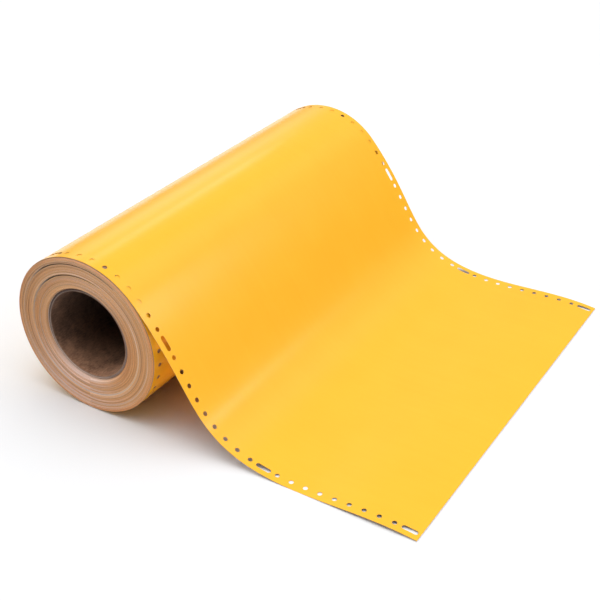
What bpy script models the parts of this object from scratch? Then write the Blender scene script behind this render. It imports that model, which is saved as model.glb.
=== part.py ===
"""Roll of punched sign vinyl wound on a paperboard core, with its free end trailing down onto the floor.

The roll's axis lies along Y, the free end trails towards +X, and the floor is z = 0. A place on the web is
given by its length from the line where the web leaves the roll: negative on the roll, positive on the tail.
The web is vinyl film, outside on the roll and on top of the tail, over its release liner.
"""

import math

import bmesh
import bpy
from mathutils import Matrix

# The web: its width, its two layers and the air between them
WEB_WIDTH = 0.381
FILM_THICKNESS = 0.0001
LINER_THICKNESS = 0.00014
LAYER_GAP = 0.00001
WEB_THICKNESS = FILM_THICKNESS + LAYER_GAP + LINER_THICKNESS

# The wound pack: the radius on which it stands, and what one turn adds to it
ROLL_RADIUS = 0.0695
TURN_GROWTH = WEB_THICKNESS + 0.00005
FACETS = 96
RING_GAP = 0.00005

# The paperboard core, a 76.2 mm tube of spiral-wound plies that ends inside the wound pack
CORE_BORE_RADIUS = 0.0381
CORE_LENGTH = 0.375
CORE_PLIES = (
    ("core_inner_ply", 0.00045),
    ("core_wall", 0.0017),
    ("core_outer_ply", 0.0004),
)
TAPE_THICKNESS = 0.00008
TAPE_FACETS = 8

# Groups of turns: the radius that each reaches, how far it has slipped along the core, and the width of
# its ends' slope
TURN_GROUPS = (
    ("core_turns", 0.0475, 0.0005, 0.0019),
    ("inner_turns", 0.0538, 0.0003, 0.0),
    ("middle_turns", 0.0637, -0.0002, 0.0),
    ("outer_turns", None, -0.0005, 0.0),
)
SLOPE_DEPTH = 0.0023
SPOOL_CLEARANCE = 0.0001
LAST_TURN = math.radians(345)

# The free tail: its length, and curvature per metre at lengths along it, positive where it curls upwards
TAIL_LENGTH = 0.3104
TAIL_CURVATURE = (
    (0.000, -14.4),
    (0.015, -3.4),
    (0.060, -2.85),
    (0.090, 1.95),
    (0.120, 12.75),
    (0.145, 12.5),
    (0.175, 6.7),
    (0.205, 3.95),
    (0.240, 0.15),
    (0.275, -2.85),
    (0.311, -5.0),
)
STEP = 0.0005

# The punched edges: round holes, with a slot in place of every tenth
HOLE_PITCH = 0.0127
HOLE_INSET = 0.007
HOLE_RADIUS = 0.00198
HOLE_SIDES = 6
SLOT_LENGTH = 0.0134
SLOT_WIDTH = 0.0041
SLOT_SIDES = 8
SLOT_EVERY = 10
END_TO_SLOT = 0.009
SLOT_CELL = 0.0174
NEAREST_FOLDS = 0.002

# Where the tail is divided: its bend at the floor, and the end strip that peels off its liner
PEEL_HOLES = 3
BEND_HOLES = 12
PIECE_GAP = 0.0002

CUTTER_REACH = 0.001

BORE_COLOUR = (0.22, 0.16, 0.12)
BOARD_COLOUR = (0.42, 0.31, 0.22)
TAPE_COLOUR = (0.62, 0.55, 0.42)
PACK_COLOUR = (0.56, 0.36, 0.20)
FILM_COLOUR = (0.93, 0.46, 0.04)
LINER_COLOUR = (0.60, 0.45, 0.30)


def clear_scene():
    for leftover in list(bpy.data.objects):
        bpy.data.objects.remove(leftover, do_unlink=True)


def new_collection(name, hidden=False):
    collection = bpy.data.collections.new(name)
    bpy.context.scene.collection.children.link(collection)
    collection.hide_render = hidden
    return collection


def material(name, colour, roughness):
    made = bpy.data.materials.new(name)
    made.use_nodes = True
    shader = made.node_tree.nodes["Principled BSDF"]
    shader.inputs["Base Color"].default_value = (*colour, 1.0)
    shader.inputs["Roughness"].default_value = roughness
    made.diffuse_color = (*colour, 1.0)
    return made


def place(name, mesh, collection, finish=None):
    """A new object in the collection, with its material."""
    placed = bpy.data.objects.new(name, mesh)
    if finish is not None:
        mesh.materials.append(finish)
    collection.objects.link(placed)
    return placed


# ---------------------------------------------------------------- the web's path, seen from its near edge


def between(pairs, at):
    """The value at a place, on straight lines between (place, value) pairs."""
    for (start, low), (end, high) in zip(pairs, pairs[1:]):
        if at <= end:
            return low + (high - low) * (at - start) / (end - start)
    return pairs[-1][1]


def turn_radius(angle):
    """Radius of the film's outer face on the last turn. Angles are from straight up, towards the tail."""
    return ROLL_RADIUS + TURN_GROWTH * (angle + math.pi) / (2 * math.pi)


def walk_tail(departure):
    """Points (length, x from the axis, height, heading) of the tail's upper face, from its first angle."""
    radius = turn_radius(departure)
    x, z = radius * math.sin(departure), ROLL_RADIUS + radius * math.cos(departure)
    heading = -departure
    walked = [(0.0, x, z, heading)]
    for count in range(round((TAIL_LENGTH + STEP) / STEP)):
        middle = (count + 0.5) * STEP
        bend = between(TAIL_CURVATURE, middle) * STEP
        x += STEP * math.cos(heading + bend / 2)
        z += STEP * math.sin(heading + bend / 2)
        heading += bend
        walked.append(((count + 1) * STEP, x, z, heading))
    return walked


def departure_angle():
    """The angle at which the web must leave the roll for the tail's lowest place to lie on the floor."""
    low, high = math.radians(30), math.radians(50)
    for _ in range(40):
        middle = (low + high) / 2
        if min(point[2] for point in walk_tail(middle)) > WEB_THICKNESS:
            low = middle
        else:
            high = middle
    return (low + high) / 2


DEPARTURE = departure_angle()
TAIL = walk_tail(DEPARTURE)
ROLL_X = -(max(point[1] for point in TAIL if point[0] <= TAIL_LENGTH) - ROLL_RADIUS) / 2
LAST_HOLE = TAIL_LENGTH - END_TO_SLOT
BEND = LAST_HOLE - (BEND_HOLES - 0.5) * HOLE_PITCH
PEEL = LAST_HOLE - (PEEL_HOLES - 0.5) * HOLE_PITCH


def tail_point(length):
    """(x, height, heading) of the tail's upper face, from the walked points."""
    count = min(int(length / STEP), len(TAIL) - 2)
    first, second = TAIL[count], TAIL[count + 1]
    share = length / STEP - count
    x, z, heading = (a + (b - a) * share for a, b in zip(first[1:], second[1:]))
    return ROLL_X + x, z, heading


def roll_point(angle, radius):
    """(x, height, heading) at an angle on the last turn."""
    return ROLL_X + radius * math.sin(angle), ROLL_RADIUS + radius * math.cos(angle), -angle


def turn_stations():
    """The last turn's folds as (length, x, height, heading): one flat facet lies on the floor."""
    facet = 2 * math.pi / FACETS
    stations = []
    for count in range(FACETS):
        angle = -math.pi + (count - 0.5) * facet
        if angle > DEPARTURE:
            angle -= 2 * math.pi
        if angle < DEPARTURE - LAST_TURN:
            continue
        radius = turn_radius(angle) / math.cos(facet / 2)
        stations.append(((angle - DEPARTURE) * ROLL_RADIUS, *roll_point(angle, radius)))
    stations.append((0.0, *roll_point(DEPARTURE, turn_radius(DEPARTURE))))
    return sorted(stations)


def tail_stations():
    """The tail's folds, which run between its holes and pass clear of its slots' ends."""
    folds = [0.0, BEND - PIECE_GAP / 2, BEND + PIECE_GAP / 2, PEEL, TAIL_LENGTH]
    hole = LAST_HOLE
    count = 0
    while hole > 0:
        half = SLOT_CELL / 2 if count % SLOT_EVERY == 0 else HOLE_PITCH / 2
        before_slot = (count + 1) % SLOT_EVERY == 0
        fold = hole - (HOLE_PITCH - SLOT_CELL / 2 if before_slot else half)
        if min(abs(fold - other) for other in folds) > NEAREST_FOLDS and fold > 0:
            folds.append(fold)
        hole -= HOLE_PITCH
        count += 1
    return [(fold, *tail_point(fold)) for fold in sorted(folds)]


def web_point(stations, length, depth):
    """(x, height) of a place on the faceted web, at a depth under its upper face."""
    count = 0
    while count < len(stations) - 2 and stations[count + 1][0] < length:
        count += 1
    first, second = stations[count], stations[count + 1]
    share = (length - first[0]) / (second[0] - first[0])
    ends = []
    for _, x, z, heading in (first, second):
        ends.append((x + depth * math.sin(heading), z - depth * math.cos(heading)))
    return tuple(a + (b - a) * share for a, b in zip(*ends))


# ---------------------------------------------------------------- pieces


def ring(name, radii, length, slip, collection, finish, slope=0.0):
    """A tube about the roll's axis, whose ends can slope in towards its bore, turned by a Screw modifier."""
    inner, outer = radii
    low, high = slip - length / 2, slip + length / 2
    corners = [(outer, high), (outer, low), (inner, low), (inner, high)]
    if slope:
        corners[2:] = [
            (inner + slope, low),
            (inner, low + SLOPE_DEPTH),
            (inner, high - SLOPE_DEPTH),
            (inner + slope, high),
        ]
    widen = 1 / math.cos(math.pi / FACETS)
    profile = bmesh.new()
    points = [profile.verts.new((radius * widen, y, 0.0)) for radius, y in corners]
    for count, point in enumerate(points):
        profile.edges.new((point, points[(count + 1) % len(points)]))
    mesh = bpy.data.meshes.new(name)
    profile.to_mesh(mesh)
    profile.free()
    made = place(name, mesh, collection, finish)
    made.location = (ROLL_X, 0.0, ROLL_RADIUS)
    made.rotation_euler = (0.0, math.pi / FACETS, 0.0)
    turned = made.modifiers.new("turn", "SCREW")
    turned.axis = "Y"
    turned.angle = 2 * math.pi
    turned.steps = FACETS
    turned.render_steps = FACETS
    turned.use_merge_vertices = True
    turned.merge_threshold = 0.00001
    turned.use_smooth_shade = True
    return made


def tape(name, inner, collection, finish):
    """The strip that holds the web's start on the core: part of a ring, closed with Solidify."""
    widen = 1 / math.cos(math.pi / FACETS)
    facet = 2 * math.pi / FACETS
    strip = bmesh.new()
    rows = []
    for count in range(TAPE_FACETS + 1):
        angle = (count - 0.5) * facet
        x, z = inner * widen * math.sin(angle), inner * widen * math.cos(angle)
        rows.append([strip.verts.new((x, side * CORE_LENGTH / 2, z)) for side in (-1, 1)])
    for first, second in zip(rows, rows[1:]):
        strip.faces.new((first[0], second[0], second[1], first[1]))
    mesh = bpy.data.meshes.new(name)
    strip.to_mesh(mesh)
    strip.free()
    made = place(name, mesh, collection, finish)
    made.location = (ROLL_X, 0.0, ROLL_RADIUS)
    thick = made.modifiers.new("thickness", "SOLIDIFY")
    thick.thickness = TAPE_THICKNESS
    thick.offset = 1.0
    thick.use_even_offset = True
    return made


def punches(start, end, cutters):
    """Cutters for the holes and slots of both edges between two lengths, laid out flat."""
    cut = bmesh.new()
    count = 0
    while LAST_HOLE - count * HOLE_PITCH > start + SLOT_LENGTH / 2:
        at = LAST_HOLE - count * HOLE_PITCH
        is_slot = count % SLOT_EVERY == 0
        count += 1
        if at > end:
            continue
        sides = SLOT_SIDES if is_slot else HOLE_SIDES
        radius = SLOT_WIDTH / 2 if is_slot else HOLE_RADIUS
        for side in (-1, 1):
            made = bmesh.ops.create_cone(
                cut,
                cap_ends=True,
                segments=sides,
                radius1=radius / math.cos(math.pi / sides) ** 0.5,
                radius2=radius / math.cos(math.pi / sides) ** 0.5,
                depth=2 * CUTTER_REACH,
            )
            half_side = Matrix.Rotation(math.pi / sides, 3, "Z")
            bmesh.ops.rotate(cut, verts=made["verts"], matrix=half_side)
            for point in made["verts"]:
                if is_slot:
                    point.co.x += math.copysign((SLOT_LENGTH - SLOT_WIDTH) / 2, point.co.x)
                point.co.x += at
                point.co.y += side * (WEB_WIDTH / 2 - HOLE_INSET)
    mesh = bpy.data.meshes.new("punches")
    cut.to_mesh(mesh)
    cut.free()
    made = place("punches", mesh, cutters)
    made.hide_render = True
    made.display_type = "WIRE"
    return made


def sheet(name, stations, span, depths, collection, finish, cutters):
    """One layer of the web between two lengths: a flat blank, punched and then bent at the stations."""
    (start, end), (top, bottom) = span, depths
    blank = bmesh.new()
    bmesh.ops.create_cube(blank, size=1.0)
    for point in blank.verts:
        point.co.x = (start + end) / 2 + point.co.x * (end - start)
        point.co.y *= WEB_WIDTH
        point.co.z = -(top + bottom) / 2 + point.co.z * (bottom - top)
    for length, *_ in stations:
        if start < length < end:
            bmesh.ops.bisect_plane(
                blank,
                geom=blank.verts[:] + blank.edges[:] + blank.faces[:],
                dist=1e-7,
                plane_co=(length, 0, 0),
                plane_no=(1, 0, 0),
            )
    mesh = bpy.data.meshes.new(name)
    blank.to_mesh(mesh)
    blank.free()
    made = place(name, mesh, collection, finish)
    punched = made.modifiers.new("punched", "BOOLEAN")
    punched.operation = "DIFFERENCE"
    punched.solver = "EXACT"
    punched.object = punches(start, end, cutters)
    bpy.context.view_layer.update()
    evaluated = made.evaluated_get(bpy.context.evaluated_depsgraph_get())
    mesh = bpy.data.meshes.new_from_object(evaluated)
    made.modifiers.remove(punched)
    made.data = mesh
    for vertex in mesh.vertices:
        x, z = web_point(stations, vertex.co.x, -vertex.co.z)
        vertex.co = (x, vertex.co.y, z)
    mesh.shade_smooth()
    mesh.set_sharp_from_angle(angle=math.radians(30))
    return made


def hinge_empty(name, x, z, collection):
    """An empty on a hinge's line, for the pieces that turn about it."""
    empty = place(name, None, collection)
    empty.location = (x, 0.0, z)
    empty.empty_display_size = 0.02
    return empty


def hang(empty, pieces):
    """Parents the pieces to the empty, without moving them."""
    bpy.context.view_layer.update()
    for piece in pieces:
        piece.parent = empty
        piece.matrix_parent_inverse = empty.matrix_world.inverted()


def build_core(collection):
    """The core's plies, from the bore outwards, and the radius that they reach."""
    finishes = (
        material("core_inner_ply", BORE_COLOUR, 0.8),
        material("core_wall", BOARD_COLOUR, 0.9),
        material("core_outer_ply", BOARD_COLOUR, 0.85),
    )
    pieces = []
    radius = CORE_BORE_RADIUS
    for (name, thickness), finish in zip(CORE_PLIES, finishes):
        radii = (radius, radius + thickness)
        pieces.append(ring(name, radii, CORE_LENGTH, 0.0, collection, finish))
        radius += thickness + RING_GAP
    return pieces, radius


def build_turns(start_radius, collection):
    """The groups of wound turns between the core and the last turn."""
    pieces = []
    inside = turn_radius(DEPARTURE - 2 * math.pi) - WEB_THICKNESS
    full = inside * math.cos(math.pi / FACETS) - SPOOL_CLEARANCE
    radius = start_radius
    for name, reach, slip, slope in TURN_GROUPS:
        finish = material(name, PACK_COLOUR, 0.6)
        radii = (radius, reach or full)
        pieces.append(ring(name, radii, WEB_WIDTH, slip, collection, finish, slope))
        radius = radii[1] + RING_GAP
    return pieces


def build_web(collection, cutters):
    """The last turn and the tail, each as a layer of film over a layer of liner."""
    turn, tail = turn_stations(), tail_stations()
    film = (0.0, FILM_THICKNESS)
    liner = (FILM_THICKNESS + LAYER_GAP, WEB_THICKNESS)
    on_roll = (turn[0][0], -PIECE_GAP)
    slope = (0.0, BEND - PIECE_GAP / 2)
    floor = (BEND + PIECE_GAP / 2, TAIL_LENGTH)
    before_peel = (floor[0], PEEL - PIECE_GAP)
    strip = (PEEL, TAIL_LENGTH)
    pieces = {
        "last_turn": (("film", turn, on_roll, film), ("liner", turn, on_roll, liner)),
        "tail_slope": (("film", tail, slope, film), ("liner", tail, slope, liner)),
        "tail_floor": (("film", tail, before_peel, film), ("liner", tail, floor, liner)),
        "tail_end": (("film", tail, strip, film),),
    }
    looks = {"film": (FILM_COLOUR, 0.3), "liner": (LINER_COLOUR, 0.5)}
    web = {}
    for part, layers in pieces.items():
        web[part] = []
        for layer, stations, span, depths in layers:
            name = f"{part}_{layer}"
            finish = material(name, *looks[layer])
            web[part].append(sheet(name, stations, span, depths, collection, finish, cutters))
    return web


def main():
    clear_scene()
    collection = new_collection("sign_vinyl_roll")
    cutters = new_collection("cutters", hidden=True)
    core, radius = build_core(collection)
    start_tape = tape("start_tape", radius, collection, material("start_tape", TAPE_COLOUR, 0.4))
    turns = build_turns(radius + TAPE_THICKNESS + RING_GAP, collection)
    web = build_web(collection, cutters)
    spool = hinge_empty("spool_axis", ROLL_X, ROLL_RADIUS, collection)
    hang(spool, [*core, start_tape, *turns])
    lift = hinge_empty("tail_lift_axis", *tail_point(0.0)[:2], collection)
    bend = hinge_empty("tail_bend_axis", *tail_point(BEND)[:2], collection)
    peel = hinge_empty("film_peel_axis", *tail_point(PEEL)[:2], collection)
    hang(lift, [*web["tail_slope"], bend])
    hang(bend, [*web["tail_floor"], peel])
    hang(peel, web["tail_end"])


main()
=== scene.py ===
import math

import bpy
import numpy as np
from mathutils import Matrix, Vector


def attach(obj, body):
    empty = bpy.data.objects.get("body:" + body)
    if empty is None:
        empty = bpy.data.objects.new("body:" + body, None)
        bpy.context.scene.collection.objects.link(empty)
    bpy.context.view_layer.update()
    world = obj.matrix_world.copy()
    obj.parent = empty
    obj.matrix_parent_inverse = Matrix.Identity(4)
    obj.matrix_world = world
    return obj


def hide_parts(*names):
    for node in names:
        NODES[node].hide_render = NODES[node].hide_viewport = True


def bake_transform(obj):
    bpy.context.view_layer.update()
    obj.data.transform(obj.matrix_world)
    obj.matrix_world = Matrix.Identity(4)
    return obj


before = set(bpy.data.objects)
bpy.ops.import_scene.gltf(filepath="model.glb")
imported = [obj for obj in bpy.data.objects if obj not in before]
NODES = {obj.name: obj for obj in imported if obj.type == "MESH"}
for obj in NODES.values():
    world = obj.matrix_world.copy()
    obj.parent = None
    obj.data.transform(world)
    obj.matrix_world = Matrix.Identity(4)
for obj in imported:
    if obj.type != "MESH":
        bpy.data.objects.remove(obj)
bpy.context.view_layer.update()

# ------------------------------------------------------------------ sizes, as in the CAD part, in metres

WEB_WIDTH = 0.381
FILM_THICKNESS = 0.0001
LINER_THICKNESS = 0.00014
LAYER_GAP = 0.00001
WEB_THICKNESS = FILM_THICKNESS + LAYER_GAP + LINER_THICKNESS
ROLL_RADIUS = 0.0695
TURN_GROWTH = WEB_THICKNESS + 0.00005
TAIL_LENGTH = 0.3104
# Along the tail: length from where it leaves the roll, and the bend there for each metre
TAIL_CURVATURE = (
    (0.000, -14.4),
    (0.015, -3.4),
    (0.060, -2.85),
    (0.090, 1.95),
    (0.120, 12.75),
    (0.145, 12.5),
    (0.175, 6.7),
    (0.205, 3.95),
    (0.240, 0.15),
    (0.275, -2.85),
    (0.311, -5.0),
)
STEP = 0.0005
HOLE_PITCH = 0.0127
HOLE_INSET = 0.007
HOLE_RADIUS = 0.00198
SLOT_LENGTH = 0.0134
SLOT_WIDTH = 0.0041
SLOT_EVERY = 10
SLOT_CELL = 0.0174
LAST_HOLE = TAIL_LENGTH - 0.009
CORE_BORE_RADIUS = 0.0381
CORE_LENGTH = 0.375
PACK_START = CORE_BORE_RADIUS + 0.00285
HALF_TURN = math.pi
FULL_TURN = 2 * math.pi


# ------------------------------------------------------------------ the web's path, seen from its near edge


def turn_radius(angle):
    """Radius of the film's outer face on the last turn. Angles are from straight up, towards the tail."""
    return ROLL_RADIUS + TURN_GROWTH * (angle + HALF_TURN) / FULL_TURN


def running_sum(values):
    """The sum before the first value, and after each one."""
    return np.concatenate([[0.0], np.cumsum(values)])


def walk_tail(departure):
    """Rows (length, x from the axis, height, heading) along the tail's upper face."""
    radius = turn_radius(departure)
    middles = (np.arange(round((TAIL_LENGTH + STEP) / STEP)) + 0.5) * STEP
    places, values = zip(*TAIL_CURVATURE)
    bends = np.interp(middles, places, values) * STEP
    headings = -departure + running_sum(bends)
    along = headings[:-1] + bends / 2
    x = radius * math.sin(departure) + running_sum(STEP * np.cos(along))
    z = ROLL_RADIUS + radius * math.cos(departure) + running_sum(STEP * np.sin(along))
    return np.stack([np.arange(len(x)) * STEP, x, z, headings], axis=1)


def departure_angle():
    """The angle at which the web leaves the roll, for the tail's lowest place to lie on the floor."""
    low, high = math.radians(30), math.radians(50)
    for _ in range(40):
        middle = (low + high) / 2
        if walk_tail(middle)[:, 2].min() > WEB_THICKNESS:
            low = middle
        else:
            high = middle
    return (low + high) / 2


DEPARTURE = departure_angle()
TAIL = walk_tail(DEPARTURE)
ROLL_X = -(TAIL[TAIL[:, 0] <= TAIL_LENGTH + 1e-9, 1].max() - ROLL_RADIUS) / 2


def web_frame(length):
    """(x, height, heading) of the film's upper face. Lengths on the roll are negative."""
    angle = DEPARTURE + np.minimum(length, 0.0) / ROLL_RADIUS
    radius = turn_radius(angle)
    rolled = (ROLL_X + radius * np.sin(angle), ROLL_RADIUS + radius * np.cos(angle), -angle)
    free = [np.interp(length, TAIL[:, 0], TAIL[:, column]) for column in (1, 2, 3)]
    free[0] = free[0] + ROLL_X
    return tuple(np.where(length > 0, tail, roll) for tail, roll in zip(free, rolled))


# The turn under the last one is a plain cylinder, so that it can turn inside it
UNDER_RADIUS = 0.0692
UNDER_CELLS = (58, 91)
UNDER_GAP = 0.0015
PACK_END = UNDER_RADIUS - WEB_THICKNESS - 0.00003


def under_frame(length):
    """The same for the turn under the last one, whose ends meet under the tail."""
    first = web_cells(UNDER_CELLS[1], UNDER_CELLS[1])[0][0]
    last = web_cells(UNDER_CELLS[0], UNDER_CELLS[0])[0][1]
    turned_by = (FULL_TURN - UNDER_GAP) * (length - last) / (last - first)
    angle = DEPARTURE + last / ROLL_RADIUS + turned_by
    x = ROLL_X + UNDER_RADIUS * np.sin(angle)
    z = ROLL_RADIUS + UNDER_RADIUS * np.cos(angle)
    return x, z, -angle


# ------------------------------------------------------------------ meshes


def build_object(name, points, faces, slots=None, materials=(), smooth=True, normals=None, flat=None):
    """A mesh object from arrays of points and faces. flat is each point's (s, y) on the flat web."""
    mesh = bpy.data.meshes.new(name)
    loops = np.concatenate([np.asarray(group).ravel() for group in faces])
    counts = np.concatenate([np.full(len(group), np.asarray(group).shape[1]) for group in faces])
    starts = np.cumsum(counts) - counts
    mesh.vertices.add(len(points))
    mesh.vertices.foreach_set("co", np.asarray(points, np.float32).ravel())
    mesh.loops.add(len(loops))
    mesh.loops.foreach_set("vertex_index", loops.astype(np.int32))
    mesh.polygons.add(len(counts))
    mesh.polygons.foreach_set("loop_start", starts.astype(np.int32))
    mesh.polygons.foreach_set("loop_total", counts.astype(np.int32))
    if slots is not None:
        mesh.polygons.foreach_set("material_index", np.asarray(slots, np.int32))
    mesh.polygons.foreach_set("use_smooth", np.broadcast_to(smooth, len(counts)).copy())
    if flat is not None:
        layer = mesh.uv_layers.new(name="web")
        layer.data.foreach_set("uv", np.asarray(flat, np.float32)[loops].ravel())
    mesh.update(calc_edges=True)
    mesh.validate()
    if normals is not None:
        mesh.normals_split_custom_set(np.asarray(normals, np.float32))
    for material in materials:
        mesh.materials.append(material)
    made = bpy.data.objects.new(name, mesh)
    bpy.context.scene.collection.objects.link(made)
    return made


def web_cells(first, last):
    """Cells (start, end, hole, slotted) along the punched edges, for holes counted from the tail's end."""
    cells = []
    for count in range(last, first - 1, -1):
        hole = LAST_HOLE - count * HOLE_PITCH
        slotted = count % SLOT_EVERY == 0
        reach = []
        for other in (count + 1, count - 1):
            if slotted:
                reach.append(SLOT_CELL / 2)
            elif other % SLOT_EVERY == 0:
                reach.append(HOLE_PITCH - SLOT_CELL / 2)
            else:
                reach.append(HOLE_PITCH / 2)
        end = TAIL_LENGTH if count == 0 else hole + reach[1]
        cells.append((hole - reach[0], end, hole, slotted))
    return cells


def hole_outline(hole, centre, slotted, along, across):
    """The hole's outline, with a point for each one round its cell: 2 (along + across)."""
    if not slotted:
        corner = math.atan2(across, along)
        near = np.linspace(-HALF_TURN + corner, -corner, along, endpoint=False)
        ahead = np.linspace(-corner, corner, across, endpoint=False)
        angles = np.concatenate([near, ahead, near + HALF_TURN, ahead + HALF_TURN])
        return HOLE_RADIUS * np.stack([np.cos(angles), np.sin(angles)], axis=1) + (hole, centre)
    radius, straight = SLOT_WIDTH / 2, (SLOT_LENGTH - SLOT_WIDTH) / 2
    run = np.linspace(-straight, straight, along, endpoint=False)
    turn = np.linspace(-HALF_TURN / 2, HALF_TURN / 2, across, endpoint=False)
    half = np.concatenate(
        [
            np.stack([run, np.full(along, -radius)], axis=1),
            np.stack([straight + radius * np.cos(turn), radius * np.sin(turn)], axis=1),
        ]
    )
    return np.concatenate([half, -half]) + (hole, centre)


# Faces along a cell, along a slot's cell, across the punched edge and across the web between the edges
ALONG, ALONG_SLOT, ACROSS, COLUMNS = 8, 12, 10, 26
# From each hole out to its cell's border
CELL_STEPS = (0.0, 0.18, 0.5, 1.0)
EDGE = 2 * HOLE_INSET


def flat_web(cells):
    """Points (s, y) and quads of the punched web laid flat."""
    points, index, quads = [], {}, []

    def number(point):
        key = (round(point[0] * 1e7), round(point[1] * 1e7))
        if key not in index:
            index[key] = len(points)
            points.append(point)
        return index[key]

    rows = [cells[0][0]]
    for start, end, hole, slotted in cells:
        along = ALONG_SLOT if slotted else ALONG
        rows.extend(np.linspace(start, end, along + 1)[1:])
        for side in (-1, 1):
            low = -WEB_WIDTH / 2 if side < 0 else WEB_WIDTH / 2 - EDGE
            s = np.linspace(start, end, along + 1)
            y = np.linspace(low, low + EDGE, ACROSS + 1)
            border = np.array(
                [(a, low) for a in s[:-1]]
                + [(end, b) for b in y[:-1]]
                + [(a, low + EDGE) for a in s[:0:-1]]
                + [(start, b) for b in y[:0:-1]]
            )
            inner = hole_outline(hole, low + HOLE_INSET, slotted, along, ACROSS)
            loops = [inner + (border - inner) * share for share in CELL_STEPS]
            numbered = [[number(tuple(point)) for point in loop] for loop in loops]
            for inside, outside in zip(numbered, numbered[1:]):
                for k in range(len(inside)):
                    n = (k + 1) % len(inside)
                    quads.append((outside[k], outside[n], inside[n], inside[k]))
    across = np.linspace(-WEB_WIDTH / 2 + EDGE, WEB_WIDTH / 2 - EDGE, COLUMNS + 1)
    grid = [[number((s, y)) for y in across] for s in rows]
    for low, high in zip(grid, grid[1:]):
        for k in range(COLUMNS):
            quads.append((low[k], high[k], high[k + 1], low[k + 1]))
    return np.array(points), np.array(quads)


def smoothstep(value, low, high):
    """0 below low, 1 above high and a smooth rise between them."""
    share = np.clip((value - low) / (high - low), 0.0, 1.0)
    return share * share * (3 - 2 * share)


# Soft waves of the free web: (cycles per metre along, across, phase, share)
WAVES = (
    (9.0, 3.1, 0.4, 0.34),
    (-6.0, 7.3, 2.1, 0.26),
    (15.0, -5.2, 4.4, 0.18),
    (4.0, 13.7, 1.3, 0.14),
    (21.0, 9.4, 5.2, 0.08),
)
WAVE_HEIGHT = 0.00022


def waves(s, y):
    """How far the free web stands off its smooth path, and its slopes along s and y."""
    on_floor = smoothstep(s, 0.13, 0.18) * (1 - smoothstep(s, 0.235, 0.29))
    envelope = smoothstep(s, 0.02, 0.075) * (1 - 0.9 * on_floor)
    height, slope_s, slope_y = 0.5, 0.0, 0.0
    for along, across, phase, share in WAVES:
        turn = FULL_TURN * (along * s + across * y) + phase
        height = height + 0.5 * share * np.sin(turn)
        slope_s = slope_s + 0.5 * share * FULL_TURN * along * np.cos(turn)
        slope_y = slope_y + 0.5 * share * FULL_TURN * across * np.cos(turn)
    scale = WAVE_HEIGHT * envelope
    return scale * height, scale * slope_s, scale * slope_y


def web_sheet(name, cells, depths, materials, path=web_frame, wavy=True):
    """One layer of the web as a closed punched sheet between two depths under the film's upper face."""
    flat, quads = flat_web(cells)
    x, z, heading = path(flat[:, 0])
    normal = np.stack([-np.sin(heading), np.zeros_like(heading), np.cos(heading)], axis=1)
    tangent = np.stack([np.cos(heading), np.zeros_like(heading), np.sin(heading)], axis=1)
    across = np.array([0.0, 1.0, 0.0])
    base = np.stack([x, flat[:, 1], z], axis=1)
    facing = normal
    if wavy:
        height, slope_s, slope_y = waves(flat[:, 0], flat[:, 1])
        base = base + normal * height[:, None]
        facing = normal - tangent * slope_s[:, None] - across * slope_y[:, None]
        facing /= np.linalg.norm(facing, axis=1)[:, None]
    count = len(flat)
    points = np.concatenate([base - facing * depths[0], base - facing * depths[1]])
    ends = np.concatenate([quads[:, [k, (k + 1) % 4]] for k in range(4)])
    keys = np.sort(ends, axis=1)
    _, first, uses = np.unique(keys, axis=0, return_index=True, return_counts=True)
    border = ends[first[uses == 1]]
    a, b = border[:, 0], border[:, 1]
    walls = np.stack([b, a, a + count, b + count], axis=1)
    run = flat[b] - flat[a]
    run /= np.linalg.norm(run, axis=1)[:, None]
    out = tangent[a] * run[:, 1:2] - across * run[:, 0:1]
    faces = np.concatenate([quads, quads[:, ::-1] + count, walls])
    upper = facing[quads].reshape(-1, 3)
    lower = -facing[quads[:, ::-1]].reshape(-1, 3)
    normals = np.concatenate([upper, lower, np.repeat(out, 4, axis=0)])
    slots = np.concatenate([np.zeros(len(quads)), np.ones(len(quads)), np.full(len(walls), 2)])
    uv = np.concatenate([flat, flat])
    return build_object(name, points, [faces], slots, materials, True, normals, uv)


def ring_quads(rings, around, closed):
    """Quads between rings of points. closed joins the last ring to the first."""
    i, j = np.meshgrid(np.arange(rings if closed else rings - 1), np.arange(around), indexing="ij")
    i2, j2 = (i + 1) % rings, (j + 1) % around
    corners = (i * around + j, i * around + j2, i2 * around + j2, i2 * around + j)
    return np.stack(corners, axis=2).reshape(-1, 4)


def tube_profile(ends, radii, cross):
    """Radius, place along the axis and slot round a tube's wall: near end, outside, far end, inside."""
    rows = np.linspace(0.0, 1.0, cross + 2)[1:-1, None]
    outside = ends[0][-1] + (ends[1][-1] - ends[0][-1]) * rows
    inside = ends[1][0] + (ends[0][0] - ends[1][0]) * rows
    offsets = np.concatenate([ends[0], outside, ends[1][::-1], inside])
    outer, inner = np.tile(radii[-1], (cross, 1)), np.tile(radii[0], (cross, 1))
    wall = np.concatenate([radii, outer, radii[::-1], inner])
    slots = np.repeat([0, 1, 0, 2], [len(radii) - 1, cross + 1, len(radii) - 1, cross + 1])
    return wall, offsets, slots


def turned(name, radii, offsets, angles, slots, materials):
    """A closed tube about the roll's axis, with flat shading on the faces of slot 0."""
    rings, around = radii.shape
    x = ROLL_X + radii * np.sin(angles)
    z = ROLL_RADIUS + radii * np.cos(angles)
    points = np.stack([x, offsets, z], axis=2).reshape(-1, 3)
    quads = ring_quads(rings, around, True)
    corners = points[quads]
    volume = np.einsum("ij,ij->i", corners[:, 0], np.cross(corners[:, 1], corners[:, 2])).sum()
    if volume < 0:
        quads = quads[:, ::-1]
    slots = np.repeat(slots, around)
    return build_object(name, points, [quads], slots, materials, slots > 0)


# ------------------------------------------------------------------ materials


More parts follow.
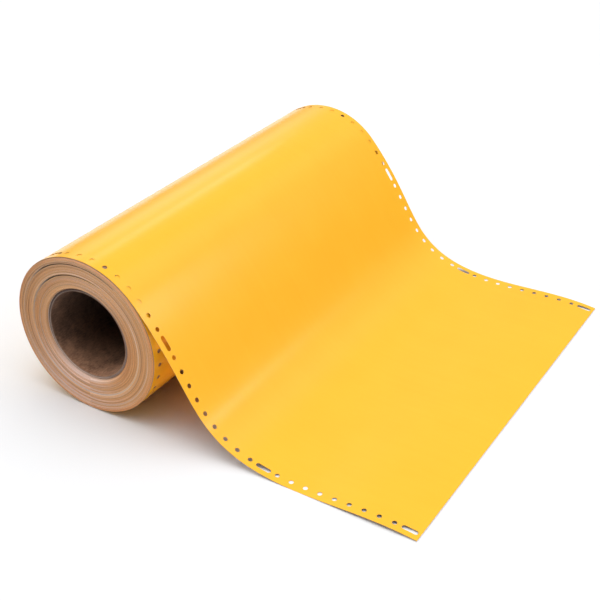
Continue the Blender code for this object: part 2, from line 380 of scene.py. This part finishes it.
class Graph:
    """A material and short ways to wire its nodes."""

    def __init__(self, name):
        self.material = bpy.data.materials.new(name)
        self.material.use_nodes = True
        self.tree = self.material.node_tree
        self.shader = self.tree.nodes["Principled BSDF"]

    def put(self, socket, value):
        if isinstance(value, bpy.types.NodeSocket):
            self.tree.links.new(value, socket)
        else:
            socket.default_value = value

    def node(self, kind, inputs=None, **settings):
        made = self.tree.nodes.new(f"ShaderNode{kind}")
        for key, value in settings.items():
            setattr(made, key, value)
        for key, value in (inputs or {}).items():
            self.put(made.inputs[key], value)
        return made

    def set(self, **values):
        for key, value in values.items():
            self.put(self.shader.inputs[key.replace("_", " ")], value)
        return self

    def math(self, operation, *values):
        made = self.node("Math", operation=operation)
        for socket, value in zip(made.inputs, values):
            self.put(socket, value)
        return made.outputs[0]

    def times(self, first, second):
        return self.math("MULTIPLY", first, second)

    def weighted(self, first, *others):
        """The sum of (value, weight) pairs."""
        total = self.times(*first)
        for value, weight in others:
            total = self.math("ADD", total, self.times(value, weight))
        return total

    def mix(self, factor, first, second, blend="MIX"):
        made = self.node("Mix", data_type="RGBA", blend_type=blend)
        self.put(made.inputs[0], factor)
        self.put(made.inputs[6], first)
        self.put(made.inputs[7], second)
        return made.outputs[2]

    def noise(self, vector, scale, detail=2.0, roughness=0.5, distortion=0.0):
        values = {"Scale": scale, "Detail": detail, "Roughness": roughness, "Distortion": distortion}
        made = self.node("TexNoise", values)
        self.put(made.inputs["Vector"], vector)
        return made.outputs["Fac"]

    def span(self, value, low, high, to_low=0.0, to_high=1.0):
        values = {"From Min": low, "From Max": high, "To Min": to_low, "To Max": to_high}
        made = self.node("MapRange", values)
        self.put(made.inputs["Value"], value)
        return made.outputs[0]

    def lobes(self, angle, base, terms):
        """base plus cosines of an angle: (size, cycles in a full turn, where it peaks in degrees)."""
        total = base
        for size, cycles, peak in terms:
            phase = self.math("MULTIPLY_ADD", angle, cycles, -cycles * math.radians(peak))
            total = self.math("MULTIPLY_ADD", self.math("COSINE", phase), size, total)
        return total

    def stretch(self, vector, scale):
        made = self.node("Mapping", {"Scale": scale})
        self.put(made.inputs["Vector"], vector)
        return made.outputs[0]

    def combine(self, x, y, z):
        return self.node("CombineXYZ", {"X": x, "Y": y, "Z": z}).outputs[0]

    def bump(self, height, distance, strength=1.0, normal=None):
        made = self.node("Bump", {"Strength": strength, "Distance": distance, "Height": height})
        if normal is not None:
            self.put(made.inputs["Normal"], normal)
        return made.outputs[0]

    def web_place(self):
        """(s, y, 0) in metres on the flat web."""
        return self.node("UVMap", uv_map="web").outputs[0]

    def polar(self):
        """Radius, angle and place along the roll's axis, in the object's own space."""
        place = self.node("TexCoord").outputs["Object"]
        parts = self.node("SeparateXYZ", {0: place}).outputs
        x = self.math("SUBTRACT", parts[0], ROLL_X)
        z = self.math("SUBTRACT", parts[2], ROLL_RADIUS)
        radius = self.math("SQRT", self.weighted((x, x), (z, z)))
        return radius, self.math("ARCTAN2", x, z), parts[1], place


# Colours, most of them a darker and a lighter one that a noise mixes
FILM_COLOURS = ((0.945, 0.465, 0.0145, 1.0), (0.95, 0.488, 0.0185, 1.0))
FILM_BACK_COLOURS = ((0.86, 0.38, 0.03, 1.0), (0.90, 0.43, 0.04, 1.0))
FILM_EDGE_COLOURS = ((0.85, 0.32, 0.02, 1.0), (0.90, 0.40, 0.03, 1.0))
LINER_FACE_COLOUR = (0.72, 0.655, 0.60, 1.0)
LINER_BACK_COLOUR = (0.66, 0.50, 0.37, 1.0)
LINER_EDGE_COLOURS = ((0.56, 0.33, 0.16, 1.0), (0.68, 0.45, 0.26, 1.0))
WOUND_PAPER_COLOURS = ((0.62, 0.325, 0.165, 1.0), (0.93, 0.62, 0.42, 1.0))
WOUND_VINYL_COLOURS = ((0.76, 0.30, 0.07, 1.0), (0.95, 0.50, 0.15, 1.0))
BETWEEN_TURNS_COLOUR = (0.14, 0.07, 0.035, 1.0)
# Painted highlight on rings of the wound edges
RING_HIGHLIGHT_COLOUR = (0.90, 0.75, 0.66, 1.0)
# Painted shade in rings of the wound edges
RING_SHADE_COLOUR = (0.20, 0.11, 0.06, 1.0)
# The film inside the pack, darkened into painted shade
SHADED_FILM_COLOURS = ((0.24, 0.125, 0.06, 1.0), (0.34, 0.18, 0.08, 1.0))
SHADED_LINER_COLOURS = ((0.70, 0.52, 0.41, 1.0), (0.84, 0.68, 0.57, 1.0))
BORE_COLOURS = ((0.15, 0.075, 0.042, 1.0), (0.50, 0.265, 0.155, 1.0))
BOARD_COLOURS = ((0.27, 0.19, 0.14, 1.0), (0.42, 0.31, 0.24, 1.0))
BOARD_END_COLOURS = ((0.16, 0.105, 0.085, 1.0), (0.46, 0.34, 0.285, 1.0))
# Painted shade and painted light for the core's cut end
BOARD_END_SHADE = (0.045, 0.03, 0.025, 1.0)
BOARD_END_LIGHT = (0.80, 0.58, 0.48, 1.0)
TAPE_COLOURS = ((0.62, 0.50, 0.36, 1.0), (0.72, 0.62, 0.48, 1.0))
FLOOR_COLOURS = ((0.775, 0.785, 0.80, 1.0), (0.795, 0.805, 0.82, 1.0))


def film_face(name):
    """Calendered vinyl: satin, with a fine grain, faint lengthwise streaks and a slow mottle."""
    g = Graph(name)
    place = g.web_place()
    mottle = g.noise(place, 22.0, 3.0)
    streak = g.noise(g.stretch(place, (6.0, 240.0, 1.0)), 1.0, 2.0)
    tone = g.weighted((mottle, 0.6), (streak, 0.4))
    g.set(Base_Color=g.mix(g.span(tone, 0.3, 0.7), *FILM_COLOURS))
    cloud = g.noise(place, 70.0, 4.0, 0.6)
    g.set(Roughness=g.span(cloud, 0.25, 0.75, 0.19, 0.23), Specular_IOR_Level=0.5)
    soft = g.bump(g.noise(place, 40.0, 1.0), 0.00004, 1.0)
    grain = g.bump(g.noise(place, 1500.0, 3.0, 0.6), 0.000008, 1.0, soft)
    g.set(Normal=grain)
    return g.material


def film_back(name):
    """The film's adhesive side: deeper in colour and a little glossier in places."""
    g = Graph(name)
    place = g.web_place()
    tone = g.noise(place, 30.0, 3.0)
    g.set(Base_Color=g.mix(g.span(tone, 0.3, 0.7), *FILM_BACK_COLOURS))
    g.set(Roughness=g.span(g.noise(place, 200.0, 3.0), 0.3, 0.7, 0.2, 0.32))
    g.set(Normal=g.bump(g.noise(place, 900.0, 2.0), 0.00001))
    return g.material


def cut_edge(name, colours):
    """A cut or punched edge, matt and finely rough."""
    g = Graph(name)
    place = g.node("TexCoord").outputs["Object"]
    g.set(Base_Color=g.mix(g.noise(place, 900.0, 3.0), *colours), Roughness=0.55)
    g.set(Normal=g.bump(g.noise(place, 4000.0, 2.0), 0.00002))
    return g.material


def liner_face(name, colour, gloss):
    """Release paper: a faint fibre cloud under a smooth coat on one side, plain and matt on the other."""
    g = Graph(name)
    place = g.web_place()
    cloud = g.noise(place, 260.0, 5.0, 0.65)
    fibre = g.noise(g.stretch(place, (500.0, 2600.0, 1.0)), 1.0, 3.0)
    tone = g.weighted((cloud, 0.7), (fibre, 0.3))
    dark = tuple(0.93 * value for value in colour[:3]) + (1.0,)
    g.set(Base_Color=g.mix(g.span(tone, 0.3, 0.7), dark, colour))
    g.set(Roughness=g.span(cloud, 0.3, 0.7, gloss, gloss + 0.12))
    g.set(Normal=g.bump(fibre, 0.00001))
    return g.material


WOUND_PITCH = 0.00025

# Pale paper rings of the wound edges with painted highlight on the arc that faces the light: radius, half
# width, strength, the arc's middle and half angle in degrees
HIGHLIGHT_RINGS = (
    (0.0421, 0.0016, 0.50, 190, 45),
    (0.0458, 0.0007, 0.30, 190, 50),
    (0.0508, 0.0006, 0.45, 195, 45),
    (0.0537, 0.0007, 0.80, 150, 95),
    (0.0562, 0.0005, 0.35, 100, 50),
    (0.0595, 0.0006, 0.40, 185, 40),
    (0.0627, 0.0006, 0.70, 165, 75),
    (0.0653, 0.0005, 0.35, 190, 60),
    (0.0508, 0.0008, 0.22, -22, 40),
    (0.0557, 0.0005, 0.25, -15, 45),
    (0.0645, 0.0004, 0.22, -30, 40),
    (0.0682, 0.0005, 0.25, -15, 45),
)
# Darker rings of painted shade, where turns lie a little lower or looser
SHADE_RINGS = (
    (0.0455, 0.0004, 0.18, -20, 60),
    (0.0522, 0.0005, 0.42, -36, 45),
    (0.0544, 0.0006, 0.40, -34, 50),
    (0.0601, 0.0004, 0.14, -30, 60),
    (0.0620, 0.0006, 0.22, -32, 45),
    (0.0632, 0.0004, 0.38, -34, 42),
    (0.0655, 0.0004, 0.26, -36, 55),
    (0.0669, 0.0003, 0.20, -40, 55),
    (0.0570, 0.0003, 0.16, 100, 60),
    (0.0605, 0.0003, 0.16, 140, 60),
)


def ring_mask(g, radius, angle, rings):
    """How strongly any ring of a table covers a place, each fading out along its arc."""
    total = 0.0
    for middle, half, strength, facing, reach in rings:
        away = g.math("DIVIDE", g.math("SUBTRACT", radius, middle), half)
        ring = g.math("EXPONENT", g.times(g.times(away, away), -1.0))
        turned_by = g.math("COSINE", g.math("SUBTRACT", angle, math.radians(facing)))
        edge = math.cos(math.radians(reach))
        arc = g.span(turned_by, edge - 0.25, min(edge + 0.25, 1.0), 0.0, strength)
        total = g.math("ADD", total, g.times(ring, arc))
    return total


def wound_edge(name):
    """The cut edges of the turns: film and paper in a tight spiral, lighter and darker by bands, with
    painted highlight and painted shade on some rings and painted light by side.
    """
    g = Graph(name)
    radius, angle, _, place = g.polar()
    turn = g.math("ADD", g.math("DIVIDE", radius, WOUND_PITCH), g.math("DIVIDE", angle, FULL_TURN))

    def turn_noise(by_turn, by_angle, level, detail, roughness=0.5):
        """Noise that changes at one rate from turn to turn and at another round the roll."""
        at = g.combine(g.times(turn, by_turn), g.times(angle, by_angle), level)
        return g.noise(at, 1.0, detail, roughness)

    share = g.math("FRACT", turn)
    film = g.math("LESS_THAN", share, 0.40)
    between = g.math("GREATER_THAN", share, 0.94)
    band = turn_noise(0.12, 0.2, 0.0, 3.0, 0.75)
    line = turn_noise(0.30, 0.35, 7.3, 1.0)
    wide = turn_noise(0.04, 0.45, 3.7, 2.0)
    paper = g.mix(g.span(band, 0.36, 0.64), *WOUND_PAPER_COLOURS)
    vinyl = g.mix(g.span(line, 0.3, 0.7), *WOUND_VINYL_COLOURS)
    stripes = g.mix(film, paper, vinyl)
    stripes = g.mix(g.times(between, 0.55), stripes, BETWEEN_TURNS_COLOUR)
    strength = g.span(line, 0.3, 0.7, 0.55, 1.25)
    # Rings of painted highlight, pale paper edges where they catch the light
    pale = g.times(ring_mask(g, radius, angle, HIGHLIGHT_RINGS), strength)
    stripes = g.mix(pale, stripes, RING_HIGHLIGHT_COLOUR)
    # Rings of painted shade
    stripes = g.mix(ring_mask(g, radius, angle, SHADE_RINGS), stripes, RING_SHADE_COLOUR)
    shade = g.times(g.span(wide, 0.3, 0.7, 0.93, 1.07), g.span(line, 0.3, 0.7, 0.86, 1.12))
    speck = g.span(g.noise(place, 1300.0, 3.0), 0.3, 0.7, 0.94, 1.06)
    # Painted light by side: lighter at top and bottom, darker at the sides and warmer on the right
    painted_red_light = g.lobes(angle, 0.93, ((0.075, 2, 0), (0.06, 1, 100)))
    painted_side_light = g.lobes(angle, 0.925, ((0.125, 2, 7), (0.05, 1, 80)))
    painted_blue_light = g.lobes(angle, 1.0, ((0.13, 2, 20), (0.06, 1, 260)))
    rim = g.span(radius, 0.0664, 0.0680, 1.0, 0.86)
    level = g.times(shade, speck)
    red = g.times(level, painted_red_light)
    green = g.times(g.times(level, painted_side_light), rim)
    blue = g.times(g.times(green, rim), painted_blue_light)
    g.set(Base_Color=g.mix(1.0, stripes, g.combine(red, green, blue), "MULTIPLY"))
    g.set(Roughness=g.span(band, 0.3, 0.7, 0.62, 0.78))
    g.set(Normal=g.bump(g.noise(place, 2600.0, 2.0), 0.00003))
    return g.material


def paperboard(name, colours, deep=1.0, bore_lit_by_side=False):
    """Spiral-wound paperboard: felted fibre with clouds and strands. deep darkens it far inside as painted
    shade; the last flag adds painted light, lighter at the lower right and darker at the upper left.
    """
    g = Graph(name)
    _, angle, along, place = g.polar()
    cloud = g.noise(place, 75.0, 5.0, 0.62)
    strand = g.noise(g.stretch(place, (700.0, 260.0, 900.0)), 1.0, 4.0, 0.6)
    speck = g.noise(place, 1500.0, 2.0)
    tone = g.weighted((cloud, 0.5), (strand, 0.35), (speck, 0.15))
    colour = g.mix(g.span(tone, 0.38, 0.64), *colours)
    # Painted shade: darker far inside the core
    away = g.math("ABSOLUTE", along)
    level = g.span(away, CORE_LENGTH / 2 - 0.055, CORE_LENGTH / 2 - 0.004, deep, 1.0)
    # Painted light: lighter at the lower right, darker at the upper left
    if bore_lit_by_side:
        painted_bore_light = g.span(g.lobes(angle, 0.0, ((1.0, 1, 150),)), -0.3, 0.9, 0.5, 1.3)
        level = g.times(level, painted_bore_light)
    g.set(Base_Color=g.mix(1.0, colour, g.combine(level, level, level), "MULTIPLY"), Roughness=0.85)
    fibre = g.bump(strand, 0.00012, 1.0)
    g.set(Normal=g.bump(speck, 0.00005, 1.0, fibre))
    return g.material


def board_end(name):
    """The core's cut end: thin rings of board, with painted light below and painted shade above on the
    left.
    """
    g = Graph(name)
    radius, angle, _, place = g.polar()
    layer = g.noise(g.combine(g.times(radius, 5200.0), g.times(angle, 1.5), 0.0), 1.0, 3.0)
    grain = g.noise(place, 1800.0, 3.0, 0.6)
    tone = g.weighted((layer, 0.7), (grain, 0.3))
    board = g.mix(g.span(tone, 0.35, 0.65), *BOARD_END_COLOURS)
    outside = g.span(radius, 0.0388, 0.0396)
    # Painted light below and painted shade above on the left
    below = g.times(g.span(g.lobes(angle, 0.0, ((1.0, 1, 198),)), 0.55, 0.97), outside)
    above = g.times(g.span(g.lobes(angle, 0.0, ((1.0, 1, 325),)), 0.5, 0.95), outside)
    board = g.mix(g.times(above, 0.75), board, BOARD_END_SHADE)
    board = g.mix(g.times(below, 0.85), board, BOARD_END_LIGHT)
    g.set(Base_Color=board, Roughness=0.9)
    g.set(Normal=g.bump(grain, 0.0001))
    return g.material


def clear_tape(name):
    """Yellowed adhesive tape."""
    g = Graph(name)
    place = g.node("TexCoord").outputs["Object"]
    g.set(Base_Color=g.mix(g.noise(place, 300.0, 3.0), *TAPE_COLOURS))
    g.set(Roughness=0.25, Normal=g.bump(g.noise(place, 500.0, 2.0), 0.00004))
    return g.material


def inner_film(name):
    """The film's face inside the pack, which shows only in the loose gaps, darkened into painted shade."""
    g = Graph(name)
    place = g.node("TexCoord").outputs["Object"]
    tone = g.span(g.noise(place, 22.0, 3.0), 0.3, 0.7)
    g.set(Base_Color=g.mix(tone, *SHADED_FILM_COLOURS))
    g.set(Roughness=g.span(g.noise(place, 70.0, 4.0), 0.25, 0.75, 0.33, 0.43))
    g.set(Normal=g.bump(g.noise(place, 1500.0, 3.0), 0.000012))
    return g.material


def inner_liner(name):
    """The liner's back inside the pack."""
    g = Graph(name)
    place = g.node("TexCoord").outputs["Object"]
    cloud = g.noise(place, 260.0, 5.0, 0.65)
    g.set(Base_Color=g.mix(g.span(cloud, 0.3, 0.7), *SHADED_LINER_COLOURS))
    g.set(Roughness=0.6, Normal=g.bump(cloud, 0.00002))
    return g.material


FILM = film_face("film_face")
FILM_EDGES = cut_edge("film_edge", FILM_EDGE_COLOURS)
FILM_UNDER = film_back("film_back")
LINER_TOP = liner_face("liner_release_face", LINER_FACE_COLOUR, 0.30)
LINER_UNDER = liner_face("liner_paper_back", LINER_BACK_COLOUR, 0.55)
LINER_EDGES = cut_edge("liner_edge", LINER_EDGE_COLOURS)
WOUND = wound_edge("wound_edges")
BORE = paperboard("bore_paper", BORE_COLOURS, 0.35, True)
BOARD = paperboard("board", BOARD_COLOURS)
BOARD_END = board_end("board_end")
# Film inside the pack in painted shade
OUTER_FACE = inner_film("wound_film_face")
INNER_FACE = inner_liner("wound_liner_back")

FILM_LOOK = (FILM, FILM_UNDER, FILM_EDGES)
LINER_LOOK = (LINER_TOP, LINER_UNDER, LINER_EDGES)
WOUND_LOOK = (WOUND, OUTER_FACE, INNER_FACE)
FILM_DEPTHS = (0.0, FILM_THICKNESS)
LINER_DEPTHS = (FILM_THICKNESS + LAYER_GAP, WEB_THICKNESS)


# ------------------------------------------------------------------ the web


def sheet_length(cells):
    """The length of a stretch of web, laid flat."""
    return cells[-1][1] - cells[0][0]


def make_web():
    """The last turn and the tail, layer by layer, and the turn under it."""
    on_roll, slope = web_cells(25, 57), web_cells(17, 24)
    floor, before_peel, strip = web_cells(0, 16), web_cells(3, 16), web_cells(0, 2)
    made = {}
    plan = (
        ("film_last_turn", on_roll, FILM_DEPTHS, FILM_LOOK, "vinyl_film"),
        ("liner_last_turn", on_roll, LINER_DEPTHS, LINER_LOOK, "release_liner"),
        ("film_slope", slope, FILM_DEPTHS, FILM_LOOK, "vinyl_film"),
        ("liner_slope", slope, LINER_DEPTHS, LINER_LOOK, "release_liner"),
        ("film_floor", before_peel, FILM_DEPTHS, FILM_LOOK, "vinyl_film"),
        ("liner_floor", floor, LINER_DEPTHS, LINER_LOOK, "release_liner"),
        ("film_end", strip, FILM_DEPTHS, FILM_LOOK, "vinyl_film"),
    )
    for name, cells, depths, look, slot in plan:
        made[name] = (web_sheet(name, cells, depths, look), sheet_length(cells))
    under = web_cells(*UNDER_CELLS)
    for name, depths, look, slot in (
        ("film_second_turn", FILM_DEPTHS, FILM_LOOK, "vinyl_film"),
        ("liner_second_turn", LINER_DEPTHS, LINER_LOOK, "release_liner"),
    ):
        made[name] = (web_sheet(name, under, depths, look, under_frame, False), sheet_length(under))
        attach(made[name][0], "spool")
    for layer in ("film", "liner"):
        rolled = made[f"{layer}_last_turn"][0]
        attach(rolled, "last_turn")
        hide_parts(f"last_turn_{layer}")
        sloped = made[f"{layer}_slope"][0]
        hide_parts(f"tail_slope_{layer}")
        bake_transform(sloped)
        laid = made[f"{layer}_floor"][0]
        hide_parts(f"tail_floor_{layer}")
        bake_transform(laid)
    end = made["film_end"][0]
    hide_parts("tail_end_film")
    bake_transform(end)


# ------------------------------------------------------------------ the wound pack


# Points across each turn's cut edge, and how far each lies back
TURN_SAMPLES = (0.02, 0.14, 0.50, 0.88)
TURN_DEPTHS = (0.00006, 0.0, 0.00001, 0.0)
CORNER_DEPTH = 0.00005
AROUND = 192
PACK_ROWS = 12
# How the turns' edges wander: turns between one value and the next, and height
WANDERS = ((1.0, 0.00006), (3.3, 0.00013), (9.0, 0.00016))


def wander(turns, seed, sizes):
    """A smooth random offset of each turn's edge: sizes are (turns between its values, height)."""
    draw = np.random.default_rng(seed)
    total = np.zeros_like(turns)
    for reach, height in sizes:
        knots = draw.uniform(-1.0, 1.0, int(turns.max() / reach) + 4)
        at = turns / reach + 1
        low = np.floor(at).astype(int)
        share = at - low
        share = share * share * (3 - 2 * share)
        total += height * (knots[low] * (1 - share) + knots[low + 1] * share)
    return total


def slack(angles, gap):
    """How far a gap between two turns opens at each angle: it grows over rise and closes over fall."""
    if gap is None:
        return 0.0
    start, end, rise, fall = (math.radians(value) for value in gap[:4])
    turned_by = (angles - start) % FULL_TURN
    span = (end - start) % FULL_TURN
    return gap[4] * smoothstep(turned_by, 0.0, rise) * (1 - smoothstep(turned_by, span - fall, span))


# Turns that stand out at both ends, then fall back over STEP_FALL: radius and height of each step.
# Next to the core they lie back by SLOPE_DEPTH, less and less over SLOPE_WIDTH.
STEPS = ((0.0458, 0.00035), (0.0508, 0.00040), (0.0595, 0.00035), (0.0653, 0.00030))
STEP_FALL = 0.0030
SLOPE_WIDTH = 0.0019
SLOPE_DEPTH = 0.0023


def relief(radii):
    """How far the turns stand out at a radius: sharp steps that fall back, and the slope to the core."""
    out = np.zeros_like(radii)
    for radius, height in STEPS:
        out += height * np.where(radii > radius, np.clip(1 - (radii - radius) / STEP_FALL, 0.0, 1.0), 0.0)
    return out - SLOPE_DEPTH * (1 - np.clip((radii - PACK_START) / SLOPE_WIDTH, 0.0, 1.0)) ** 1.3


def wound_group(name, node, inner, outer, slip, seed, inner_gap, outer_gap):
    """A group of wound turns: ends whose turns stand in and out a little, and the gaps at its faces."""
    angles = np.arange(AROUND) * FULL_TURN / AROUND
    count = round((outer - inner) / WOUND_PITCH)
    samples = (np.arange(count)[:, None] + TURN_SAMPLES).ravel() / count
    ladder = np.concatenate([[0.0], samples, [1.0]])
    dips = np.concatenate([[CORNER_DEPTH], np.tile(TURN_DEPTHS, count), [CORNER_DEPTH]])
    low = np.full(AROUND, inner) + slack(angles, inner_gap)
    high = np.full(AROUND, outer) - slack(angles, outer_gap)
    radii = low + (high - low) * ladder[:, None]
    index = np.floor(ladder * count + 0.02)[:, None] + angles / FULL_TURN
    ends = []
    for side in (-1, 1):
        shift = wander(index, seed + side, WANDERS) + (relief(radii) - dips[:, None]) * side
        ends.append(side * WEB_WIDTH / 2 + slip + shift)
    wall, offsets, slots = tube_profile(ends, radii, PACK_ROWS)
    made = turned(name, wall, offsets, np.broadcast_to(angles, wall.shape), slots, WOUND_LOOK)
    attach(made, "spool")
    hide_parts(node)


# Loose gaps between turns: start, end, rise and fall in degrees, and depth
FIRST_GAP = (-105, 45, 60, 50, 0.00056)
SECOND_GAP = (-75, 33, 40, 2, 0.00050)
# Groups of turns: piece, node, inner and outer radius, slip along the core, seed, inner and outer gap
GROUPS = (
    ("wound_core_turns", "core_turns", PACK_START, 0.0475, 0.0005, 11, None, None),
    ("wound_inner_turns", "inner_turns", 0.04755, 0.0538, 0.0003, 23, None, FIRST_GAP),
    ("wound_middle_turns", "middle_turns", 0.05385, 0.0637, -0.0002, 37, FIRST_GAP, SECOND_GAP),
    ("wound_outer_turns", "outer_turns", 0.06375, PACK_END, -0.0005, 41, SECOND_GAP, None),
)


def make_pack():
    """The four groups of turns, with the gaps that show between them at the ends."""
    for group in GROUPS:
        wound_group(*group)


# ------------------------------------------------------------------ the core


HELIX_PITCH = 0.110
# The seam where the facing strip's edges meet: places across it and how deep it lies there
SEAM_PLACES = (-0.0016, -0.0008, -0.00035, -0.00012, 0.00012, 0.00035, 0.0008, 0.0016)
SEAM_DEPTHS = (0.0, 0.00002, 0.00008, 0.00022, 0.00022, 0.00008, 0.00002, 0.0)
SEAM_ROWS, PLAIN_ROWS = 238, 14
EVEN_POINTS = 88
FRAY = 0.00004
LAYER_DEPTH = 0.00009
ROUNDING = 0.00012


def core_ply(name, node, inner, outer, seed, layers, look, helix, slot):
    """A ply of the core: layered, slightly frayed ends, and on the helix a seam along its strip's edges."""
    seam = np.array(SEAM_PLACES) / inner
    even = np.linspace(seam[-1], FULL_TURN + seam[0], EVEN_POINTS + 2)[1:-1]
    base = np.concatenate([seam, even])
    ladder = np.linspace(0.0, 1.0, 3 * layers + 1)
    draw = np.random.default_rng(seed)
    ends = []
    for side in (-1, 1):
        fray = draw.uniform(-1.0, 1.0, (len(ladder), len(base))) * FRAY
        depth = np.where(np.arange(len(ladder)) % 3 == 0, LAYER_DEPTH, 0.0)[:, None]
        rounding = ROUNDING * ((ladder == 0) | (ladder == 1))[:, None]
        ends.append(side * (CORE_LENGTH / 2 - depth - rounding) + fray)
    radii = np.repeat((inner + (outer - inner) * ladder)[:, None], len(base), axis=1)
    cross = SEAM_ROWS if helix else PLAIN_ROWS
    wall, offsets, slots = tube_profile(ends, radii, cross)
    if helix:
        wall[-cross:, : len(seam)] += SEAM_DEPTHS
    angles = base + (FULL_TURN / HELIX_PITCH * offsets if helix else 0.0)
    made = turned(name, wall, offsets, angles, slots, look)
    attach(made, "spool")
    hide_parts(node)


BORE_LOOK = (BORE, BOARD, BORE)
WALL_LOOK = (BOARD_END, BOARD, BOARD)
COVER_LOOK = (BORE, BOARD, BOARD)
# Plies: piece, node, inner and outer radius, seed, layers, look, whether it has the seam, slot
PLIES = (
    ("core_bore_ply", "core_inner_ply", CORE_BORE_RADIUS, 0.03855, 5, 1, BORE_LOOK, True, "core_facing"),
    ("core_board", "core_wall", 0.0386, 0.0403, 6, 5, WALL_LOOK, False, "paperboard"),
    ("core_cover_ply", "core_outer_ply", 0.04035, 0.04075, 7, 1, COVER_LOOK, False, "core_facing"),
)


def make_core():
    """The three plies, and a look for the start tape."""
    for ply in PLIES:
        core_ply(*ply)
    tape = NODES["start_tape"]
    tape.data.materials.clear()
    tape.data.materials.append(clear_tape("tape"))


# ------------------------------------------------------------------ floor, light and camera


def make_backdrop(material):
    """A pale wall that curves up from the floor all round, seen by the camera and not by the light."""
    around, reach, bend, height, lift = 96, 5.0, 1.5, 6.0, 0.001
    rise = np.linspace(0.0, HALF_TURN / 2, 13)
    radii = np.append(reach - bend + bend * np.sin(rise), reach)
    heights = np.append(bend - bend * np.cos(rise), height) + lift
    angles = np.arange(around) * FULL_TURN / around
    points = [(r * math.sin(a), r * math.cos(a), z) for r, z in zip(radii, heights) for a in angles]
    quads = ring_quads(len(radii), around, False)
    wall = build_object("backdrop", points, [quads], None, (material,), True)
    wall.visible_diffuse = False
    wall.visible_glossy = False
    wall.visible_transmission = False
    wall.visible_shadow = False


def make_floor():
    """A plain pale floor, and the wall round it."""
    size = 6.0
    points = [(-size, -size, 0), (size, -size, 0), (size, size, 0), (-size, size, 0)]
    g = Graph("floor_white")
    place = g.node("TexCoord").outputs["Object"]
    g.set(Base_Color=g.mix(g.noise(place, 3.0, 2.0), *FLOOR_COLOURS))
    g.set(Roughness=0.75)
    floor = build_object("floor", points, [np.array([[0, 1, 2, 3]])], None, (g.material,), False)
    make_backdrop(g.material)


# Soft light from all round: (azimuth, elevation, strength, focus), each a round glow
GLOWS = (
    (0, 90, 2.78, 10),
    (0, 90, 0.90, 60),
    (112.5, 38, 1.57, 10),
    (292.5, 38, 1.52, 10),
    (222, 22, 1.02, 60),
    (270, 65, 0.94, 10),
    (90, 10, 0.89, 10),
    (0, 65, 0.72, 10),
    (90, 65, 0.64, 10),
    (160, 48, 0.52, 40),
    (157.5, 38, 0.37, 10),
    (202.5, 38, 0.33, 10),
    (225, 10, 0.27, 10),
    (202, 40, 0.20, 60),
    (180, 25, 0.14, 40),
    (134.5, 28.5, 4.8, 500),
)


def direction(azimuth, elevation):
    """The unit vector towards a place in the room: azimuth 0 is in front, 90 at the right."""
    a, e = math.radians(azimuth), math.radians(elevation)
    return (math.sin(a) * math.cos(e), -math.cos(a) * math.cos(e), math.sin(e))


def make_world():
    """A studio with a large softbox overhead and smaller ones round it, as glows on a dark room."""
    world = bpy.data.worlds.new("room")
    bpy.context.scene.world = world
    world.use_nodes = True
    tree = world.node_tree
    way = tree.nodes.new("ShaderNodeTexCoord").outputs["Generated"]
    total = None
    for azimuth, elevation, strength, focus in GLOWS:
        toward = tree.nodes.new("ShaderNodeVectorMath")
        toward.operation = "DOT_PRODUCT"
        toward.inputs[1].default_value = direction(azimuth, elevation)
        tree.links.new(way, toward.inputs[0])
        value = toward.outputs["Value"]
        for operation, number in (("MAXIMUM", 0.0), ("POWER", focus), ("MULTIPLY", strength)):
            step = tree.nodes.new("ShaderNodeMath")
            step.operation = operation
            step.inputs[1].default_value = number
            tree.links.new(value, step.inputs[0])
            value = step.outputs[0]
        if total is not None:
            both = tree.nodes.new("ShaderNodeMath")
            tree.links.new(total, both.inputs[0])
            tree.links.new(value, both.inputs[1])
            value = both.outputs[0]
        total = value
    background = tree.nodes["Background"]
    background.inputs["Color"].default_value = (1.0, 1.0, 1.0, 1.0)
    tree.links.new(total, background.inputs["Strength"])


def make_light(name, place, target, size, power, colour, spread):
    """An area lamp at a place, turned towards its target and out of sight."""
    lamp = bpy.data.lights.new(name, "AREA")
    lamp.shape = "RECTANGLE"
    lamp.size, lamp.size_y = size
    lamp.energy = power
    lamp.color = colour
    lamp.spread = math.radians(spread)
    made = bpy.data.objects.new(name, lamp)
    bpy.context.scene.collection.objects.link(made)
    made.location = place
    made.rotation_mode = "QUATERNION"
    made.rotation_quaternion = (Vector(target) - Vector(place)).to_track_quat("-Z", "Y")
    made.visible_camera = False


WHITE, WARM = (1.0, 1.0, 1.0), (1.0, 0.42, 0.25)
TUNNEL = ((ROLL_X + 0.105, 0.0, 0.020), (ROLL_X + 0.060, 0.0, 0.055))
NIP = ((ROLL_X + 0.0765, 0.0, 0.0775), (ROLL_X + 0.060, 0.0, 0.103))
BEHIND = ((-0.41, 0.44, 0.545), (-0.41, 0.44, 0.0))
# Lamps: name, place and target, size, power, colour, spread. The first two stand in for the light
# that comes through the tail, the last for a soft box close behind the roll.
LAMPS = (
    ("tunnel_glow", *TUNNEL, (0.37, 0.012), 0.022, WARM, 90),
    ("nip_glow", *NIP, (0.37, 0.004), 0.006, WARM, 120),
    ("back_softbox", *BEHIND, (0.12, 0.46), 0.24, WHITE, 180),
)
CAMERA_PLACE = (0.43157, -0.76844, 0.57704)
CAMERA_TURN = (58.658, -1.175, 31.184)
CAMERA_LENS = 69.53
CAMERA_SHIFT = (-0.0156, 0.0067)


def make_camera():
    """The photograph's view."""
    data = bpy.data.cameras.new("camera")
    data.sensor_width = 36.0
    data.lens = CAMERA_LENS
    data.shift_x, data.shift_y = CAMERA_SHIFT
    data.clip_start = 0.05
    camera = bpy.data.objects.new("camera", data)
    camera.location = CAMERA_PLACE
    camera.rotation_euler = [math.radians(value) for value in CAMERA_TURN]
    bpy.context.scene.collection.objects.link(camera)
    bpy.context.scene.camera = camera


make_floor()
make_world()
for lamp in LAMPS:
    make_light(*lamp)
make_camera()
make_web()
make_pack()
make_core()

bpy.context.scene.view_settings.view_transform = "Standard"
